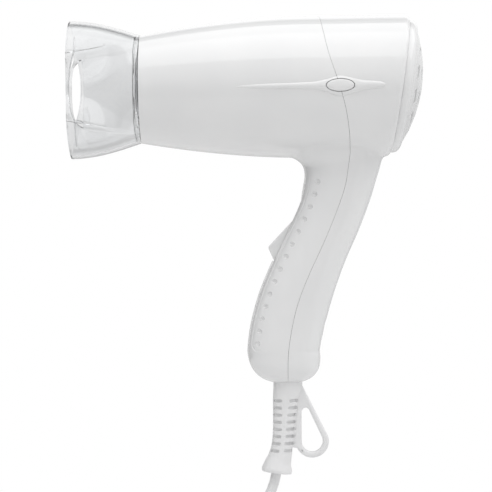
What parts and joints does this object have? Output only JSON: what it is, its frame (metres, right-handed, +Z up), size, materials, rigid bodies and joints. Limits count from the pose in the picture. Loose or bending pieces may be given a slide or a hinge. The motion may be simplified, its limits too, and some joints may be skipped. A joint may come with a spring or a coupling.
{
  "type": "hair dryer",
  "caption": "Compact pistol-grip hair dryer with a clear pinched styling nozzle, a slide switch on the handle, a hanging loop, and a tied mains cord with its plug.",
  "frame": {"origin": "middle of the grip, on the dryer's plane of symmetry", "axes": "+Z up, the barrel along X with the nozzle towards -X, and Y across the dryer, which is symmetric about y = 0"},
  "size_m": [0.1922, 0.078, 0.4108],
  "materials": {
    "white_gloss": "high-gloss white moulding",
    "heat_plastic": "dark grey heat-proof moulding",
    "clear_plastic": "clear, polished",
    "steel": "bright plated",
    "mica": "pale brown mica sheet",
    "nichrome": "dull resistance wire",
    "black_plastic": "black moulding",
    "circuit_board": "green laminate",
    "soft_white": "soft white moulding, satin",
    "cord_white": "white flexible sheath, satin",
    "brass": "plain brass"
  },
  "bodies": {
    "dryer": {"front_housing": "white_gloss", "rear_housing": "white_gloss", "side_cap_left": "white_gloss", "side_cap_right": "white_gloss", "rear_ring": "white_gloss", "inlet_grille": "white_gloss", "thermal_fuse": "white_gloss", "cord_clamp": "white_gloss", "dust_filter": "heat_plastic", "outlet_grille": "heat_plastic", "motor_mount": "heat_plastic", "switch_body": "heat_plastic", "supply_leads": "heat_plastic", "handle_screw": "steel", "side_screw_left": "steel", "side_screw_right": "steel", "clamp_screw_left": "steel", "clamp_screw_right": "steel", "thermostat": "steel", "motor_case": "steel", "mica_sleeve": "mica", "mica_board_upright": "mica", "mica_board_cross": "mica", "heater_coil_front": "nichrome", "heater_coil_rear": "nichrome", "motor_end_cap": "black_plastic", "heater_leads": "black_plastic", "rectifier_board": "circuit_board", "strain_relief": "soft_white", "cord_tie": "soft_white", "power_cord": "cord_white", "cord_coil": "cord_white", "cord_tail": "cord_white", "plug_body": "cord_white", "plug_blade_left": "brass", "plug_blade_right": "brass"},
    "nozzle_ring": {"nozzle_ring": "steel"},
    "nozzle": {"nozzle": "clear_plastic"},
    "switch": {"switch_knob": "white_gloss", "switch_slider": "black_plastic"},
    "rotor": {"motor_shaft": "steel", "fan": "black_plastic"}
  },
  "joints": [
    {"name": "nozzle_turn", "type": "hinge", "parent": "dryer", "child": "nozzle_ring", "pos_m": [-0.0915, 0, 0.088], "axis": [1, 0, 0], "continuous": true},
    {"name": "nozzle_pull", "type": "slide", "parent": "nozzle_ring", "child": "nozzle", "axis": [-1, 0, 0], "range_m": [0, 0.03]},
    {"name": "switch_slide", "type": "slide", "parent": "dryer", "child": "switch", "axis": [0.446, 0, 0.895], "range_m": [0, 0.008]},
    {"name": "fan_spin", "type": "hinge", "parent": "dryer", "child": "rotor", "pos_m": [0.029, 0, 0.088], "axis": [1, 0, 0], "continuous": true}
  ]
}
